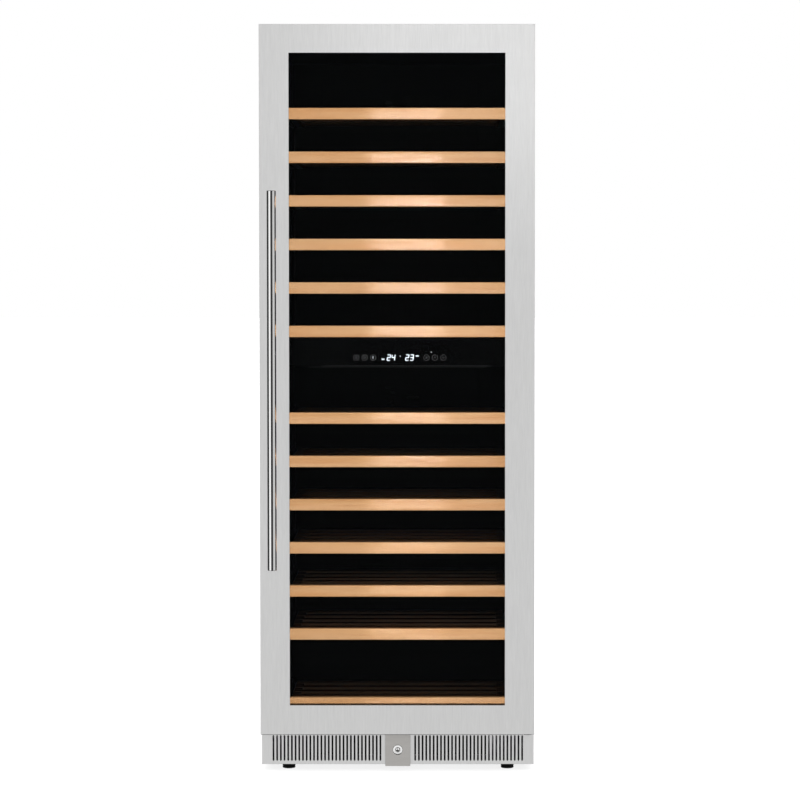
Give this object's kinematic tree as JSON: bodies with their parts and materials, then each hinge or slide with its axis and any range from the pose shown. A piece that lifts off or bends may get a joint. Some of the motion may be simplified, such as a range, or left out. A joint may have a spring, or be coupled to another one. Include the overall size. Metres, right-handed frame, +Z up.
{
  "type": "wine cooler",
  "caption": "Tall two-zone wine cooler: stainless glass door with bar handle, sliding beech shelves, control strip, slotted plinth with key lock and levelling feet.",
  "frame": {"origin": "on the floor under the feet, at the centre of the outer box's footprint", "axes": "+Z up, the door faces -Y, +X to the right when facing the door"},
  "size_m": [0.655, 0.738, 1.79],
  "materials": {
    "stainless": "vertically brushed satin",
    "polished_steel": "polished",
    "dark_steel": "satin",
    "black_plastic": "matte",
    "black_gloss": "gloss",
    "rubber": "matte",
    "foam": "matte",
    "glazing": "polished",
    "beech": "satin",
    "aluminium": "satin",
    "galvanised": "satin",
    "lamp": "gloss"
  },
  "bodies": {
    "cabinet": {"side_panel_left": "dark_steel", "side_panel_right": "dark_steel", "top_panel": "dark_steel", "back_panel": "dark_steel", "rear_cover": "dark_steel", "mains_inlet": "black_plastic", "base_pan": "galvanised", "front_frame": "black_plastic", "liner_upper": "black_plastic", "liner_lower": "black_plastic", "insulation_foam": "foam", "zone_divider": "black_plastic", "control_panel": "black_gloss", "light_bar_upper": "lamp", "light_bar_lower": "lamp", "duct_cover_upper": "black_plastic", "duct_cover_lower": "black_plastic", "evaporator_upper": "aluminium", "evaporator_lower": "aluminium", "compressor": "dark_steel", "condenser": "aluminium", "fan_bracket": "black_plastic", "runner_upper_left": "galvanised", "runner_upper_right": "galvanised", "runner_lower_left": "galvanised", "runner_lower_right": "galvanised", "plinth_grille": "stainless", "lock_plate": "stainless", "hinge_bracket_top": "dark_steel", "hinge_bracket_bottom": "dark_steel"},
    "door": {"door_skin": "stainless", "door_core": "black_plastic", "outer_pane": "glazing", "inner_pane": "glazing", "glass_spacer": "black_gloss", "door_gasket": "rubber", "door_strike": "galvanised", "handle": "polished_steel"},
    "lock": {"lock_barrel": "polished_steel"},
    "bolt": {"lock_bolt": "galvanised"},
    "fan_upper": {"fan_upper": "black_plastic"},
    "fan_lower": {"fan_lower": "black_plastic"},
    "condenser_fan": {"condenser_fan": "black_plastic"},
    "foot_front_left": {"foot_front_left": "rubber"},
    "foot_front_right": {"foot_front_right": "rubber"},
    "foot_back_left": {"foot_back_left": "rubber"},
    "foot_back_right": {"foot_back_right": "rubber"},
    "shelf_01": {"shelf_01": "beech"},
    "shelf_02": {"shelf_02": "beech"},
    "shelf_03": {"shelf_03": "beech"},
    "shelf_04": {"shelf_04": "beech"},
    "shelf_05": {"shelf_05": "beech"},
    "shelf_06": {"shelf_06": "beech"},
    "shelf_07": {"shelf_07": "beech"},
    "shelf_08": {"shelf_08": "beech"},
    "shelf_09": {"shelf_09": "beech"},
    "shelf_10": {"shelf_10": "beech"},
    "shelf_11": {"shelf_11": "beech"},
    "shelf_12": {"shelf_12": "beech"},
    "shelf_13": {"shelf_13": "beech"}
  },
  "joints": [
    {"name": "door_hinge", "type": "hinge", "parent": "cabinet", "child": "door", "pos_m": [0.3125, -0.281, 0.0925], "axis": [0, 0, 1], "range_deg": [0, 115]},
    {"name": "shelf_01_slide", "type": "slide", "parent": "cabinet", "child": "shelf_01", "axis": [0, -1, 0], "range_m": [0, 0.36]},
    {"name": "shelf_02_slide", "type": "slide", "parent": "cabinet", "child": "shelf_02", "axis": [0, -1, 0], "range_m": [0, 0.36]},
    {"name": "shelf_03_slide", "type": "slide", "parent": "cabinet", "child": "shelf_03", "axis": [0, -1, 0], "range_m": [0, 0.36]},
    {"name": "shelf_04_slide", "type": "slide", "parent": "cabinet", "child": "shelf_04", "axis": [0, -1, 0], "range_m": [0, 0.36]},
    {"name": "shelf_05_slide", "type": "slide", "parent": "cabinet", "child": "shelf_05", "axis": [0, -1, 0], "range_m": [0, 0.36]},
    {"name": "shelf_06_slide", "type": "slide", "parent": "cabinet", "child": "shelf_06", "axis": [0, -1, 0], "range_m": [0, 0.36]},
    {"name": "shelf_07_slide", "type": "slide", "parent": "cabinet", "child": "shelf_07", "axis": [0, -1, 0], "range_m": [0, 0.36]},
    {"name": "shelf_08_slide", "type": "slide", "parent": "cabinet", "child": "shelf_08", "axis": [0, -1, 0], "range_m": [0, 0.36]},
    {"name": "shelf_09_slide", "type": "slide", "parent": "cabinet", "child": "shelf_09", "axis": [0, -1, 0], "range_m": [0, 0.36]},
    {"name": "shelf_10_slide", "type": "slide", "parent": "cabinet", "child": "shelf_10", "axis": [0, -1, 0], "range_m": [0, 0.36]},
    {"name": "shelf_11_slide", "type": "slide", "parent": "cabinet", "child": "shelf_11", "axis": [0, -1, 0], "range_m": [0, 0.36]},
    {"name": "shelf_12_slide", "type": "slide", "parent": "cabinet", "child": "shelf_12", "axis": [0, -1, 0], "range_m": [0, 0.36]},
    {"name": "shelf_13_slide", "type": "slide", "parent": "cabinet", "child": "shelf_13", "axis": [0, -1, 0], "range_m": [0, 0.36]},
    {"name": "lock_turn", "type": "hinge", "parent": "cabinet", "child": "lock", "pos_m": [0, -0.266, 0.052], "axis": [0, 1, 0], "range_deg": [0, 90]},
    {"name": "bolt_lift", "type": "slide", "parent": "cabinet", "child": "bolt", "axis": [0, 0, 1], "range_m": [0, 0.013]},
    {"name": "foot_front_left_level", "type": "slide", "parent": "cabinet", "child": "foot_front_left", "axis": [0, 0, -1], "range_m": [-0.004, 0.02]},
    {"name": "foot_front_right_level", "type": "slide", "parent": "cabinet", "child": "foot_front_right", "axis": [0, 0, -1], "range_m": [-0.004, 0.02]},
    {"name": "foot_back_left_level", "type": "slide", "parent": "cabinet", "child": "foot_back_left", "axis": [0, 0, -1], "range_m": [-0.004, 0.02]},
    {"name": "foot_back_right_level", "type": "slide", "parent": "cabinet", "child": "foot_back_right", "axis": [0, 0, -1], "range_m": [-0.004, 0.02]},
    {"name": "fan_upper_spin", "type": "hinge", "parent": "cabinet", "child": "fan_upper", "pos_m": [0, 0.2575, 1.61], "axis": [0, 1, 0], "continuous": true},
    {"name": "fan_lower_spin", "type": "hinge", "parent": "cabinet", "child": "fan_lower", "pos_m": [0, 0.2575, 0.88], "axis": [0, 1, 0], "continuous": true},
    {"name": "condenser_fan_spin", "type": "hinge", "parent": "cabinet", "child": "condenser_fan", "pos_m": [-0.15, -0.128, 0.06], "axis": [0, 1, 0], "continuous": true}
  ],
  "couplings": [
    {"joint": "shelf_01_slide", "follows": "door_hinge", "m_per_rad": 0.088},
    {"joint": "shelf_02_slide", "follows": "door_hinge", "m_per_rad": 0.088},
    {"joint": "shelf_03_slide", "follows": "door_hinge", "m_per_rad": 0.088},
    {"joint": "shelf_04_slide", "follows": "door_hinge", "m_per_rad": 0.088},
    {"joint": "shelf_05_slide", "follows": "door_hinge", "m_per_rad": 0.088},
    {"joint": "shelf_06_slide", "follows": "door_hinge", "m_per_rad": 0.088},
    {"joint": "shelf_07_slide", "follows": "door_hinge", "m_per_rad": 0.088},
    {"joint": "shelf_08_slide", "follows": "door_hinge", "m_per_rad": 0.088},
    {"joint": "shelf_09_slide", "follows": "door_hinge", "m_per_rad": 0.088},
    {"joint": "shelf_10_slide", "follows": "door_hinge", "m_per_rad": 0.088},
    {"joint": "shelf_11_slide", "follows": "door_hinge", "m_per_rad": 0.088},
    {"joint": "shelf_12_slide", "follows": "door_hinge", "m_per_rad": 0.088},
    {"joint": "shelf_13_slide", "follows": "door_hinge", "m_per_rad": 0.088},
    {"joint": "bolt_lift", "follows": "lock_turn", "m_per_rad": 0.008}
  ]
}
